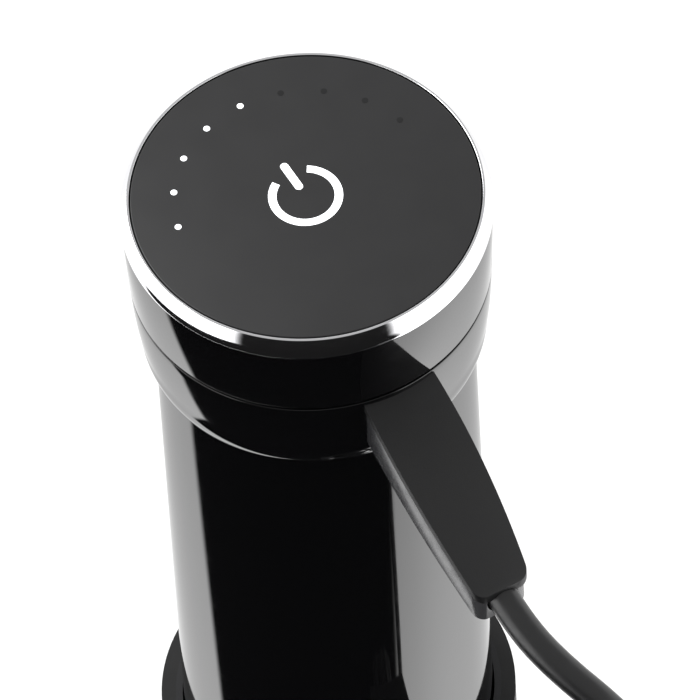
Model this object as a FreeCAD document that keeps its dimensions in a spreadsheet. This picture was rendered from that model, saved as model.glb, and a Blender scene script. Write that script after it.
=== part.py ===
"""Sous vide circulator: a head with a rotary dial and a touch glass, a motor barrel,
a stainless sleeve round the heater and impeller, a pot clamp and a mains cord.

Frame: +Z up, the origin at the centre of the foot's underside, the cord arm toward -Y.
Sizes are millimetres and live in the sheet `sizes`.
"""
import FreeCAD, Part
import math
import os
import re
import Sketcher

from FreeCAD import Placement, Rotation, Vector

os.makedirs("parts", exist_ok=True)
doc = FreeCAD.newDocument("sous_vide_circulator")

# ------------------------------------------------------------------ sizes

SIZES = {
    # the head, from the glass down
    "total_height": 400, "head_radius": 40, "band_foot_radius": 39.05, "ring_height": 4.3,
    "ring_land": 0.5, "ring_curve": 5, "band_height": 19, "band_wall": 2.6, "band_inset": 0.25,
    "edge_break": 0.3, "glass_radius": 37.4, "glass_thick": 2, "running_gap": 0.3, "seam": 1,
    "bowl_height": 24.4, "bowl_radius": 38.9, "bowl_flank": 140, "shoulder_radius": 37.6,
    "shoulder_height": 8, "shoulder_curve": 14, "bowl_lip": 0.4, "shell_wall": 2.2,
    "flange_thick": 2.5, "flange_bore": 30, "floor_bore": 22,
    # the display under the glass
    "plate_thick": 2, "plate_inset": 0.4, "skirt_radius": 33.5, "skirt_wall": 2,
    "carrier_height": 15, "carrier_gap": 0.5, "tooth_depth": 4, "tooth_width": 1.6,
    "dot_circle": 28.1, "dot_radius": 0.75, "guide_gap": 0.3, "boss_height": 4, "boss_radius": 2.5,
    "boss_circle": 20, "board_thick": 1.6, "display_board_radius": 30.5, "led_side": 2,
    "led_height": 1, "symbol_radius": 8, "symbol_stroke": 1.8,
    "sensor_width": 5, "sensor_height": 5, "sensor_reach": 2.8, "window_gap": 0.5,
    # the power board in the bowl
    "standoff_height": 6.2, "standoff_radius": 2.5, "standoff_circle": 24, "board_radius": 30,
    # the cord arm
    "arm_root_half": 8.45, "arm_end_half": 6.3, "arm_end": 81, "arm_root": 36, "arm_side_curve": 210,
    "arm_corner": 2.3, "arm_root_drop": 0.2, "arm_fall": 22.5, "arm_top_curve": 228,
    "arm_root_thick": 14.5, "arm_end_thick": 10, "cover_thick": 2.2, "base_inset": 0.4,
    "base_end_inset": 1, "arm_screw_length": 8.6, "cord_radius": 3.5, "cord_bore_gap": 0.2,
    "cord_exit_drop": 52.2, "cord_exit_reach": 82, "cord_inner_rise": 19.2, "cord_inner_run": 52,
    "grommet_wall": 1.4,
    # the barrel
    "barrel_radius": 34.5, "barrel_wall": 2, "barrel_foot": 186, "ledge_foot": 240,
    "ledge_thick": 4, "ledge_bore": 29.5, "collar_radius": 35.5, "collar_height": 8,
    "collar_bore": 29.4, "fit": 0.1,
    # screws
    "screw_radius": 1.4, "screw_head_radius": 2.6, "screw_head": 1.8, "screw_gap": 0.1,
    "flange_screw_radius": 1, "flange_screw_head_radius": 1.5,
    "head_screw_circle": 28, "flange_screw_circle": 31,
    # the motor
    "mount_thick": 3, "mount_bore": 9, "can_radius": 22, "can_wall": 1.2, "can_height": 53,
    "end_cap_thick": 4, "bearing_radius": 6, "bearing_height": 5, "stator_inner": 15.8,
    "rotor_radius": 15, "pack_height": 36, "pack_gap": 9, "shaft_radius": 2.5, "shaft_gap": 0.1,
    "shaft_foot": 27, "shaft_top": 320, "fan_radius": 19, "fan_hub": 5, "fan_height": 8,
    "fan_foot": 310,
    # the wet end
    "gasket_thick": 2, "heater_flange_thick": 6, "spigot_length": 16, "spigot_radius": 27.9,
    "spigot_wall": 3.5, "seal_section": 1, "seal_height": 180, "shaft_seal_radius": 8,
    "tube_radius": 5, "tube_wall": 1.4, "tube_foot": 62, "bush_height": 8, "heater_radius": 3.25,
    "heater_circle": 17, "heater_foot": 72, "probe_radius": 2.5, "probe_foot": 60,
    "level_radius": 1.5, "level_foot": 115, "sleeve_radius": 29, "sleeve_wall": 0.8,
    "sleeve_foot": 26, "sleeve_top": 187, "inlet_foot": 96, "inlet_height": 42, "slot_width": 5,
    "outlet_foot": 36, "outlet_height": 14, "impeller_foot": 34, "impeller_height": 14,
    "impeller_radius": 22, "impeller_hub": 5, "blade_thick": 1.6, "nut_radius": 4.5,
    "nut_height": 5, "foot_height": 2, "foot_radius": 27, "cap_floor": 3,
    "cap_gap": 0.3, "cap_wall": 3, "cap_spigot": 6, "cap_slot_foot": 10, "cap_slot_height": 10,
    # the pot clamp
    "clamp_foot": 190, "clamp_height": 28, "liner_thick": 1.5, "clamp_wall": 3.2,
    "jaw_half": 11, "jaw_foot": 168, "jaw_thick": 4.7, "mouth": 19, "leg_thick": 6,
    "bridge_height": 12, "screw_height": 180, "pad_radius": 9, "pad_thick": 2, "socket_thick": 3,
    "thread_radius": 3, "thread_gap": 0.3, "knob_radius": 9, "knob_length": 12,
    "thread_length": 27, "insert_radius": 5.5, "knob_groove": 1.6,
    # the coiled cord and its plug
    "coil_inner": 33, "coil_outer": 49, "coil_foot": 0.9, "coil_top": 17, "coil_round": 5,
    "coil_place": 97, "tie_width": 9, "tie_thick": 0.9, "plug_radius": 18.2, "plug_length": 40,
    "plug_neck": 5, "neck_length": 12, "plug_waist": 13.5, "pin_radius": 2.4, "pin_length": 19,
    "pin_pitch": 19, "plug_x": 52.5, "plug_y": -37,
}

# Heights and radii that follow from the sizes above.
DERIVED = {
    "glass_seat": "total_height - glass_thick",
    "plate_foot": "glass_seat - plate_thick",
    "plate_radius": "glass_radius - plate_inset",
    "ring_foot": "total_height - ring_height",
    "ring_bore": "glass_radius + running_gap",
    "dial_bore": "head_radius - band_wall",
    "band_foot": "ring_foot - band_height",
    "bowl_top": "band_foot - seam",
    "bowl_foot": "bowl_top - bowl_height",
    "flange_foot": "bowl_top - flange_thick",
    "floor_top": "bowl_foot + flange_thick",
    "carrier_top": "plate_foot - carrier_gap",
    "carrier_foot": "carrier_top - carrier_height",
    "display_board_top": "plate_foot - boss_height",
    "display_board_foot": "display_board_top - board_thick",
    "guide_foot": "display_board_top + led_height + guide_gap",
    "board_foot": "floor_top + standoff_height",
    "board_top": "board_foot + board_thick",
    "barrel_bore": "barrel_radius - barrel_wall",
    "ledge_top": "ledge_foot + ledge_thick",
    "can_foot": "ledge_top + mount_thick",
    "can_top": "can_foot + can_height",
    "pack_foot": "can_foot + pack_gap",
    "collar_foot": "barrel_foot - collar_height",
    "flange_plate_foot": "barrel_foot + gasket_thick",
    "flange_plate_top": "flange_plate_foot + heater_flange_thick",
    "spigot_foot": "flange_plate_foot - spigot_length",
    "sleeve_bore": "sleeve_radius - sleeve_wall",
    "tube_bore": "tube_radius - tube_wall",
    "cap_bottom": "foot_height",
    "liner_bore": "barrel_radius + running_gap",
    "clamp_bore": "liner_bore + liner_thick",
    "clamp_radius": "clamp_bore + clamp_wall",
    "clamp_top": "clamp_foot + clamp_height",
    "jaw_face": "clamp_bore + jaw_thick",
    "leg_face": "jaw_face + mouth",
    "leg_back": "leg_face + leg_thick",
    "socket_back": "leg_face - running_gap",
    "socket_face": "socket_back - socket_thick",
    "knob_face": "socket_back + thread_length",
}

sheet = doc.addObject("Spreadsheet::Sheet", "sizes")
for row, (alias, value) in enumerate({**SIZES, **DERIVED}.items(), start=1):
    sheet.set(f"A{row}", alias)
    sheet.set(f"B{row}", str(value) if alias in SIZES else f"={value}")
    sheet.setAlias(f"B{row}", alias)
doc.recompute()


def bound(text):
    """An expression in the sheet's words, as FreeCAD reads it from another object."""
    return re.sub(r"\b([a-z][a-z_]*[a-z])\b(?!\()", r"sizes.\1", str(text))


def value_of(text):
    """What an expression comes to now, in millimetres."""
    answer = sheet.evalExpression(bound(text))
    return float(getattr(answer, "Value", answer))


def bind(thing, **properties):
    """Tie properties such as Radius or Height to the sheet."""
    for name, text in properties.items():
        thing.setExpression(name, bound(text))
    return thing


def place(thing, x="0", y="0", z="0", rotation=None):
    """Put a thing at a place given in the sheet's words, turned by a fixed rotation."""
    if rotation:
        thing.Placement = Placement(Vector(), rotation)
    for axis, text in zip("xyz", (x, y, z)):
        if str(text) != "0":
            thing.setExpression(f"Placement.Base.{axis}", bound(text))
    return thing


# ------------------------------------------------------------------ shapes

TO_PLUS_Y = Rotation(Vector(1, 0, 0), -90)
TO_MINUS_Y = Rotation(Vector(1, 0, 0), 90)
TO_PLUS_X = Rotation(Vector(0, 1, 0), 90)


def around(count, start=0.0):
    """The angles of `count` things spread evenly round the axis, in degrees."""
    return [start + 360.0 * k / count for k in range(count)]


def polar(radius, angle):
    """The x and y, in the sheet's words, of a point on a circle round the axis."""
    return f"({radius}) * cos({angle})", f"({radius}) * sin({angle})"


def trace(sketch, corners):
    """Draw a closed outline. Each corner is (across, up) in the sheet's words, with a third
    item where an arc of that radius leads to it: negative where the arc turns clockwise."""
    spots = [Vector(value_of(c[0]), value_of(c[1]), 0) for c in corners]
    ends = []
    for k, corner in enumerate(corners):
        start, stop = spots[k - 1], spots[k]
        if len(corner) == 2:
            sketch.addGeometry(Part.LineSegment(start, stop), False)
            ends.append((1, 2))
            continue
        radius, clockwise = abs(value_of(corner[2])), str(corner[2]).startswith("-")
        chord = stop - start
        side = Vector(chord.y, -chord.x, 0).normalize() * (1 if clockwise else -1)
        centre = (start + stop) * 0.5 + side * math.sqrt(radius**2 - (chord.Length / 2) ** 2)
        first, last = (stop, start) if clockwise else (start, stop)
        angles = [math.atan2(p.y - centre.y, p.x - centre.x) for p in (first, last)]
        circle = Part.Circle(centre, Vector(0, 0, 1), radius)
        sketch.addGeometry(Part.ArcOfCircle(circle, *angles), False)
        ends.append((2, 1) if clockwise else (1, 2))
    for k, corner in enumerate(corners):
        after = (k + 1) % len(corners)
        sketch.addConstraint(Sketcher.Constraint("Coincident", k, ends[k][1], after, ends[after][0]))
        for kind, axis, text, spot in (
            ("DistanceX", -2, corner[0], spots[k].x),
            ("DistanceY", -1, corner[1], spots[k].y),
        ):
            if str(text) == "0":
                sketch.addConstraint(Sketcher.Constraint("PointOnObject", k, ends[k][1], axis))
                continue
            held = sketch.addConstraint(Sketcher.Constraint(kind, -1, 1, k, ends[k][1], spot))
            sketch.setExpression(f"Constraints[{held}]", bound(text))
        if len(corner) == 3:
            radius = str(corner[2]).lstrip("-")
            held = sketch.addConstraint(Sketcher.Constraint("Radius", k, value_of(radius)))
            sketch.setExpression(f"Constraints[{held}]", bound(radius))


def plane_of(body, role):
    """One of a body's own origin planes."""
    return next(p for p in body.Origin.OriginFeatures if p.Role == role)


def turned(label, corners):
    """A body turned about Z from an outline of (radius, height) corners."""
    body = doc.addObject("PartDesign::Body", label)
    sketch = body.newObject("Sketcher::SketchObject", f"{label}_outline")
    sketch.AttachmentSupport = (plane_of(body, "XZ_Plane"), [""])
    sketch.MapMode = "FlatFace"
    trace(sketch, corners)
    turn = body.newObject("PartDesign::Revolution", f"{label}_turn")
    turn.Profile = sketch
    turn.ReferenceAxis = (sketch, ["V_Axis"])
    turn.Angle = 360
    return body


def ring(label, inner, outer, low, high):
    """A plain ring, or a disc where the inner radius is 0."""
    return turned(label, [(inner, low), (outer, low), (outer, high), (inner, high)])


def slots(body, pairs, width, low, high, start=0.0):
    """Cut pairs of opposite round-ended slots through the wall of a turned body."""
    sketch = body.newObject("Sketcher::SketchObject", f"{body.Name}_slot{start:.0f}")
    sketch.AttachmentSupport = (plane_of(body, "XZ_Plane"), [""])
    sketch.MapMode = "FlatFace"
    half, bend = f"({width}) / 2", f"({width}) / 2 * 1.001"
    corners = [
        (f"-{half}", f"{low} + {half}"), (half, f"{low} + {half}", bend),
        (half, f"{high} - {half}"), (f"-{half}", f"{high} - {half}", bend),
    ]
    trace(sketch, corners)
    cut_through = body.newObject("PartDesign::Pocket", f"{body.Name}_slots{start:.0f}")
    cut_through.Profile = sketch
    cut_through.Midplane = True
    cut_through.Type = 1
    pattern = body.newObject("PartDesign::PolarPattern", f"{body.Name}_pattern{start:.0f}")
    pattern.Originals = [cut_through]
    pattern.Axis = (plane_of(body, "Z_Axis"), [""])
    pattern.Angle = 180.0 * (pairs - 1) / pairs
    pattern.Occurrences = pairs
    body.Tip = pattern
    return body


def cylinder(name, radius, height, x="0", y="0", z="0", rotation=None):
    thing = bind(doc.addObject("Part::Cylinder", name), Radius=radius, Height=height)
    return place(thing, x, y, z, rotation)


def block(name, length, width, height, x="0", y="0", z="0", angle=0.0):
    """A box of size length (along its own x) by width by height. Its underside's centre is
    at x, y, z, and it is turned about Z by a fixed angle."""
    thing = bind(doc.addObject("Part::Box", name), Length=length, Width=width, Height=height)
    back_x = f"({length}) / 2 * cos({angle}) - ({width}) / 2 * sin({angle})"
    back_y = f"({length}) / 2 * sin({angle}) + ({width}) / 2 * cos({angle})"
    turn = Rotation(Vector(0, 0, 1), angle)
    return place(thing, f"{x} - ({back_x})", f"{y} - ({back_y})", z, turn)


def joined(label, things):
    """Several shapes as one object: fused where they touch, separate solids where not."""
    whole = doc.addObject("Part::MultiFuse", label)
    whole.Shapes = things
    return whole


def cut(label, base, tools):
    """A base with one or more tools taken out of it."""
    left = doc.addObject("Part::Cut", label)
    left.Base = base
    left.Tool = tools[0] if len(tools) == 1 else joined(f"{label}_tools", tools)
    return left


def common(label, first, second):
    both = doc.addObject("Part::Common", label)
    both.Base = first
    both.Tool = second
    return both


def screws(label, circle, angles, seat, length, up=True, kind="screw"):
    """Pan-head screws round the axis, their heads on the face at height `seat`."""
    made = []
    for k, angle in enumerate(angles):
        x, y = polar(circle, angle)
        low, head = (f"{seat} - ({length})", seat) if up else (seat, f"{seat} - screw_head")
        shank = cylinder(f"{label}_shank{k}", f"{kind}_radius", length, x, y, low)
        top = cylinder(f"{label}_head{k}", f"{kind}_head_radius", "screw_head", x, y, head)
        made.append(joined(f"{label}_{k}", [shank, top]))
    return joined(label, made)


def screw_holes(label, circle, angles, low, high, kind="screw"):
    """The clearance holes that those screws pass through."""
    return [
        cylinder(f"{label}_hole{k}", f"{kind}_radius + screw_gap", f"({high}) - ({low})",
                 *polar(circle, angle), low)
        for k, angle in enumerate(angles)
    ]


nodes = {}


def node(name, thing):
    """Keep a finished piece under the name of the file that it is written to."""
    thing.Label = name
    nodes[name] = thing
    return thing


# ------------------------------------------------------------------ the dial and the glass

DOTS = 9
DOT_STEP = 18.9  # degrees between two dots
LIT_DOTS = 5
HEAD_SCREW_ANGLES = around(4, 45)
STANDOFF_ANGLES = around(4, 30)
BOSS_ANGLES = around(4, 45)
FLANGE_SCREW_ANGLES = around(4, 45)
ARM_SCREWS = [("-5.6", "46"), ("5.6", "46")]  # across and out from the axis


def dot_angles():
    """The dots run clockwise from the left, and the fifth is straight across from the arm."""
    return [90 + (LIT_DOTS - 1 - k) * DOT_STEP for k in range(DOTS)]


def symbol(label, low, height, grow="0"):
    """A power symbol: a ring that is open at the top, and a bar through the opening."""
    rim = cylinder(f"{label}_rim", f"symbol_radius + {grow}", height, z=low)
    hole = cylinder(f"{label}_hole", f"symbol_radius - symbol_stroke - {grow}", height, z=low)
    opening = block(f"{label}_opening", f"symbol_radius - 2 * {grow}", "symbol_radius", height,
                    y="symbol_radius", z=low)
    bar = block(f"{label}_bar", f"symbol_stroke + 2 * {grow}", f"symbol_radius + 2 * {grow}",
                height, y="symbol_radius * 0.75", z=low)
    loop = cut(f"{label}_loop", cut(f"{label}_ring", rim, [hole]), [opening])
    return [loop, bar]


def light_guides(label, angles, low, grow="0"):
    return [
        cylinder(f"{label}_{k}", f"dot_radius + {grow}", f"total_height - ({low})",
                 *polar("dot_circle", angle), low)
        for k, angle in enumerate(angles)
    ]


def make_glass_and_lights():
    disc = turned("glass_disc", [
        ("0", "glass_seat"), ("glass_radius", "glass_seat"),
        ("glass_radius", "total_height - edge_break"), ("glass_radius - edge_break", "total_height"),
        ("0", "total_height"),
    ])
    ways = light_guides("glass_way", dot_angles(), "glass_seat")
    ways += symbol("glass_symbol", "glass_seat", "glass_thick")
    node("touch_glass", cut("touch_glass", disc, ways))
    lit, unlit = dot_angles()[:LIT_DOTS], dot_angles()[LIT_DOTS:]
    node("lit_indicator_dots", joined("lit_dots", light_guides("lit_guide", lit, "guide_foot")))
    node("unlit_indicator_dots", joined("unlit_dots", light_guides("unlit_guide", unlit, "guide_foot")))
    node("power_symbol", joined("power_symbol", symbol("symbol", "glass_seat", "glass_thick")))


def make_dial():
    node("chrome_trim_ring", turned("chrome_trim_ring", [
        ("ring_bore", "ring_foot"), ("head_radius", "ring_foot"),
        ("head_radius", "ring_foot + ring_land"),
        ("ring_bore + ring_land", "total_height", "ring_curve"), ("ring_bore", "total_height"),
    ]))
    node("dial_ring", turned("dial_ring", [
        ("dial_bore", "band_foot"), ("band_foot_radius - edge_break", "band_foot"),
        ("band_foot_radius", "band_foot + edge_break"), ("head_radius - band_inset", "ring_foot"),
        ("dial_bore", "ring_foot"),
    ]))
    hoop = ring("carrier_hoop", "skirt_radius + carrier_gap", "dial_bore", "carrier_foot", "carrier_top")
    notches = [
        block(f"notch{k}", "dial_bore * 2", "tooth_width", "tooth_depth",
              *polar("dial_bore", angle), "carrier_foot", angle)
        for k, angle in enumerate(around(36))
    ]
    reach = ring("notch_reach", "skirt_radius", "dial_bore - skirt_wall / 2", "carrier_foot - 1",
                 "carrier_top")
    teeth = common("notch_teeth", joined("notch_blocks", notches), reach)
    node("dial_carrier", cut("dial_carrier", hoop, [teeth]))
    node("dial_slide_ring", ring("dial_slide_ring", "skirt_radius + carrier_gap", "dial_bore + edge_break",
                                 "bowl_top", "band_foot - running_gap"))


def make_display():
    shell = turned("chassis_shell", [
        ("0", "plate_foot"), ("skirt_radius - skirt_wall", "plate_foot"),
        ("skirt_radius - skirt_wall", "bowl_top"), ("skirt_radius", "bowl_top"),
        ("skirt_radius", "plate_foot"), ("plate_radius", "plate_foot"),
        ("plate_radius", "glass_seat"), ("0", "glass_seat"),
    ])
    bosses = [
        cylinder(f"boss{k}", "boss_radius", "boss_height", *polar("boss_circle", angle),
                 "display_board_top")
        for k, angle in enumerate(BOSS_ANGLES)
    ]
    holes = [
        cylinder(f"chassis_way{k}", "dot_radius + fit", "plate_thick", *polar("dot_circle", angle),
                 "plate_foot")
        for k, angle in enumerate(dot_angles())
    ]
    window = block("sensor_window", "skirt_wall * 3", "sensor_width + 2 * window_gap",
                   "sensor_height + 2 * window_gap", x="skirt_radius - skirt_wall / 2",
                   z="carrier_foot - window_gap")
    screw_ways = screw_holes("chassis", "boss_circle", BOSS_ANGLES, "display_board_top",
                             "display_board_top + 3")
    node("display_chassis", cut("display_chassis", joined("chassis_body", [shell, *bosses]),
                                [*holes, window, *screw_ways]))
    board = ring("display_board_disc", "0", "display_board_radius", "display_board_foot",
                 "display_board_top")
    ways = screw_holes("display_board", "boss_circle", BOSS_ANGLES, "display_board_foot",
                       "display_board_top")
    node("display_board", cut("display_board", board, ways))
    node("indicator_leds", joined("indicator_leds", [
        block(f"led{k}", "led_side", "led_side", "led_height", *polar("dot_circle", angle),
              "display_board_top", angle)
        for k, angle in enumerate(dot_angles())
    ]))
    stem = block("sensor_stem", "board_thick", "sensor_width", "display_board_foot - carrier_foot",
                 x="skirt_radius - skirt_wall - board_thick", z="carrier_foot")
    eye = block("sensor_eye", "sensor_reach", "sensor_width", "sensor_height",
                x="skirt_radius - skirt_wall - board_thick / 2 + sensor_reach / 2 - fit",
                z="carrier_foot")
    node("dial_sensor", joined("dial_sensor", [stem, eye]))


# ------------------------------------------------------------------ the bowl and its board

def bowl_flank():
    """The bowl's outside, from its top edge down to where it meets the barrel."""
    return [
        ("bowl_radius - edge_break", "bowl_top"), ("bowl_radius", "bowl_top - edge_break"),
        ("shoulder_radius", "bowl_foot + shoulder_height", "-bowl_flank"),
        ("barrel_radius + bowl_lip", "bowl_foot", "-shoulder_curve"),
    ]


def cord_axis(name, radius, start, length):
    """A cylinder on the cord's line through the arm, from `start` millimetres out."""
    rise, run = value_of("cord_inner_rise"), value_of("cord_inner_run")
    slope = "cord_inner_rise / cord_inner_run"
    tilt = Rotation(Vector(0, 0, 1), Vector(0, -run, -rise))
    height = f"total_height - cord_exit_drop + (cord_exit_reach - ({start})) * {slope}"
    return cylinder(name, radius, length, "0", f"-({start})", height, tilt)


def make_bowl():
    shell = turned("bowl_shell", [
        ("flange_bore", "bowl_top"), *bowl_flank(), ("floor_bore", "bowl_foot"),
        ("floor_bore", "floor_top"), ("barrel_radius - 1", "floor_top"),
        ("shoulder_radius - shell_wall", "bowl_foot + shoulder_height"),
        ("bowl_radius - shell_wall - edge_break", "flange_foot"), ("flange_bore", "flange_foot"),
    ])
    lead_way = cord_axis("bowl_lead_way", "cord_radius + grommet_wall + cord_bore_gap",
                         "skirt_radius - 1", "8")
    ways = screw_holes("bowl", "head_screw_circle", HEAD_SCREW_ANGLES, "bowl_foot", "floor_top")
    node("head_bowl", cut("head_bowl", shell, [lead_way, *ways]))
    arm_screws = [cylinder(f"arm_screw{k}", "screw_radius", "arm_screw_length", side, f"-{reach}",
                           "bowl_top - arm_root_drop - 16")
                  for k, (side, reach) in enumerate(ARM_SCREWS)]
    node("head_screws", joined("head_screws", [
        screws("bowl_screws", "head_screw_circle", HEAD_SCREW_ANGLES, "floor_top",
               "2 * flange_thick + 2"),
        screws("display_screws", "boss_circle", BOSS_ANGLES, "display_board_foot", "board_thick + 3",
               up=False),
        *arm_screws,
    ]))


def make_power_board():
    disc = ring("power_board_disc", "0", "board_radius", "board_foot", "board_top")
    node("power_board", disc)
    places = [polar("standoff_circle", angle) for angle in STANDOFF_ANGLES]
    node("board_standoffs", joined("board_standoffs", [
        *[cylinder(f"standoff{k}", "standoff_radius", "standoff_height", *spot, "floor_top")
          for k, spot in enumerate(places)],
        *[cylinder(f"board_screw{k}", "screw_head_radius", "screw_head", *spot, "board_top")
          for k, spot in enumerate(places)],
    ]))
    node("terminal_block", block("terminal_block", "14", "8", "10", y="-16.5 - cord_radius", z="board_top"))
    node("board_components", joined("board_components", [
        block("transformer", "15", "17", "14", x="-11", y="2", z="board_top", angle=30),
        block("relay", "8", "12", "11", x="5", y="0", z="board_top"),
        *[cylinder(f"capacitor{k}", "4", "15", x, y, "board_top")
          for k, (x, y) in enumerate([("9", "14"), ("-1", "18")])],
    ]))
    plate = block("heatsink_plate", "2", "18", "13", x="16", y="-3", z="board_top")
    fins = [
        block(f"fin{k}", "6", "1.4", "13", x="19.5", y=str(-11 + 4 * k), z="board_top")
        for k in range(5)
    ]
    node("triac_heatsink", joined("triac_heatsink", [plate, *fins]))


# ------------------------------------------------------------------ the cord arm

def extruded(name, corners, sideways):
    """A closed outline, pushed up from the floor or, sideways, along X both ways."""
    sketch = doc.addObject("Sketcher::SketchObject", f"{name}_outline")
    if sideways:
        sketch.Placement = Placement(Vector(), Rotation(Vector(0, 1, 0), Vector(0, 0, 1), Vector(1, 0, 0)))
    trace(sketch, corners)
    solid = doc.addObject("Part::Extrusion", name)
    solid.Base = sketch
    solid.DirMode = "Normal"
    solid.Solid = True
    bind(solid, LengthFwd="arm_end" if sideways else "total_height")
    solid.Symmetric = sideways
    return solid


def arm_plan(name, inset, end_inset):
    """The arm seen from above: bowed sides and a blunt end with rounded corners."""
    root, tip, end = f"(arm_root_half - {inset})", f"(arm_end_half - {inset})", f"(arm_end - {end_inset})"
    corners = [
        (root, "-arm_root"), (f"-{root}", "-arm_root"),
        (f"-{tip}", f"-({end} - arm_corner)", "arm_side_curve"),
        (f"-({tip} - arm_corner)", f"-{end}", "arm_corner * 1.001"),
        (f"{tip} - arm_corner", f"-{end}"),
        (tip, f"-({end} - arm_corner)", "arm_corner * 1.001"),
    ]
    corners[0] = (*corners[0], "arm_side_curve")
    return extruded(name, corners, sideways=False)


def arm_side(name, top, bottom, bottom_curve=None):
    """The arm seen from the side, between two lines given as their (root, end) heights."""
    foot = ("-arm_root", bottom[0], bottom_curve) if bottom_curve else ("-arm_root", bottom[0])
    return extruded(name, [
        foot, ("-arm_root", top[0]), ("-arm_end", top[1], "arm_top_curve"), ("-arm_end", bottom[1]),
    ], sideways=True)


def make_arm():
    root, tip = "(bowl_top - arm_root_drop)", "(bowl_top - arm_root_drop - arm_fall)"
    under = [f"{root} - cover_thick", f"{tip} - cover_thick"]
    bottom = [f"{root} - arm_root_thick", f"{tip} - arm_end_thick"]
    bowl = turned("bowl_envelope", [("0", "bowl_top"), *bowl_flank(), ("0", "bowl_foot")])
    lead = cord_axis("arm_lead_way", "cord_radius + cord_bore_gap", "arm_root - 4", "60")
    grommet_way = cord_axis("arm_grommet_way", "cord_radius + grommet_wall + cord_bore_gap",
                            "arm_root - 4", "8.5")
    cover = common("cover_blank", arm_plan("cover_plan", "0", "0"),
                   arm_side("cover_side", [root, tip], under, "-arm_top_curve"))
    base = common("base_blank", arm_plan("base_plan", "base_inset", "base_end_inset"),
                  arm_side("base_side", under, bottom))
    screw_ways = [cylinder(f"arm_screw_way{k}", "screw_radius + screw_gap", "40", y=f"-({reach})",
                           x=side, z=f"{tip} - arm_root_thick")
                  for k, (side, reach) in enumerate(ARM_SCREWS)]
    node("cord_arm_cover", cut("cord_arm_cover", cover, [bowl, lead]))
    node("cord_arm_base", cut("cord_arm_base", base, [bowl, lead, grommet_way, *screw_ways]))


def make_arm_inside():
    sleeve = cord_axis("grommet_outside", "cord_radius + grommet_wall", "arm_root - 3", "7")
    way = cord_axis("grommet_inside", "cord_radius + fit", "arm_root - 5", "12")
    node("lead_grommet", cut("lead_grommet", sleeve, [way]))
    node("inner_lead", cord_axis("inner_lead", "cord_radius", "25", "48.6"))


# ------------------------------------------------------------------ barrel and motor

def make_barrel():
    shell = turned("barrel_blank", [
        ("floor_bore", "bowl_foot"), ("floor_bore", "bowl_foot - flange_thick"),
        ("barrel_bore", "bowl_foot - flange_thick"), ("barrel_bore", "ledge_top"),
        ("ledge_bore", "ledge_top"), ("ledge_bore", "ledge_foot"), ("barrel_bore", "ledge_foot"),
        ("barrel_bore", "barrel_foot"), ("barrel_radius", "barrel_foot"), ("barrel_radius", "bowl_foot"),
    ])
    ways = screw_holes("barrel", "head_screw_circle", HEAD_SCREW_ANGLES, "bowl_foot - flange_thick",
                       "bowl_foot")
    node("barrel_shell", cut("barrel_shell", shell, ways))
    collar = turned("collar_blank", [
        ("collar_bore", "collar_foot"), ("collar_radius - 1", "collar_foot"),
        ("collar_radius", "collar_foot + 1"), ("collar_radius", "barrel_foot"),
        ("collar_bore", "barrel_foot"),
    ])
    ways = screw_holes("collar", "flange_screw_circle", FLANGE_SCREW_ANGLES, "collar_foot",
                       "barrel_foot", "flange_screw")
    node("barrel_collar", cut("barrel_collar", collar, ways))


def make_motor():
    plate = ring("mount_plate", "mount_bore", "barrel_bore - fit", "ledge_top", "can_foot")
    ways = screw_holes("mount", "ledge_bore + 1.2", around(3, 90), "ledge_top", "can_foot")
    node("motor_mount", cut("motor_mount", plate, ways))
    node("barrel_screws", joined("barrel_screws", [
        *[cylinder(f"motor_screw{k}", "screw_radius", "mount_thick",
                   *polar("ledge_bore + 1.2", angle), "ledge_top")
          for k, angle in enumerate(around(3, 90))],
        screws("flange_screws", "flange_screw_circle", FLANGE_SCREW_ANGLES, "collar_foot",
               "collar_height + gasket_thick + 3.5", up=False, kind="flange_screw"),
    ]))
    node("motor_can", turned("motor_can", [
        ("bearing_radius - 1", "can_foot"), ("can_radius", "can_foot"), ("can_radius", "can_top"),
        ("can_radius - can_wall", "can_top"), ("can_radius - can_wall", "can_foot + can_wall"),
        ("bearing_radius - 1", "can_foot + can_wall"),
    ]))
    node("motor_end_cap", ring("motor_end_cap", "bearing_radius - 1", "can_radius", "can_top",
                               "can_top + end_cap_thick"))
    bore = "shaft_radius + shaft_gap"
    node("motor_bearings", joined("motor_bearings", [
        ring("bearing_low", bore, "bearing_radius", "can_foot + can_wall",
             "can_foot + can_wall + bearing_height"),
        ring("bearing_high", bore, "bearing_radius", "can_top - bearing_height", "can_top"),
    ]))
    node("motor_stator", ring("motor_stator", "stator_inner", "can_radius - can_wall", "pack_foot",
                              "pack_foot + pack_height"))
    node("motor_rotor", ring("motor_rotor", "shaft_radius", "rotor_radius", "pack_foot",
                             "pack_foot + pack_height"))
    node("drive_shaft", ring("drive_shaft", "0", "shaft_radius", "shaft_foot", "shaft_top"))


def bladed(label, hub, radius, low, height, count, lean):
    """A hub on the shaft with flat blades that lean back from the radial line."""
    core = cylinder(f"{label}_hub", hub, height, z=low)
    blades = [
        block(f"{label}_blade{k}", f"{radius} - {hub} / 2", "blade_thick", height,
              *polar(f"({radius} + {hub} / 2) / 2", angle), low, angle + lean)
        for k, angle in enumerate(around(count))
    ]
    shaft = cylinder(f"{label}_bore", "shaft_radius", height, z=low)
    return cut(label, joined(f"{label}_body", [core, *blades]), [shaft])


# ------------------------------------------------------------------ the wet end

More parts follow.
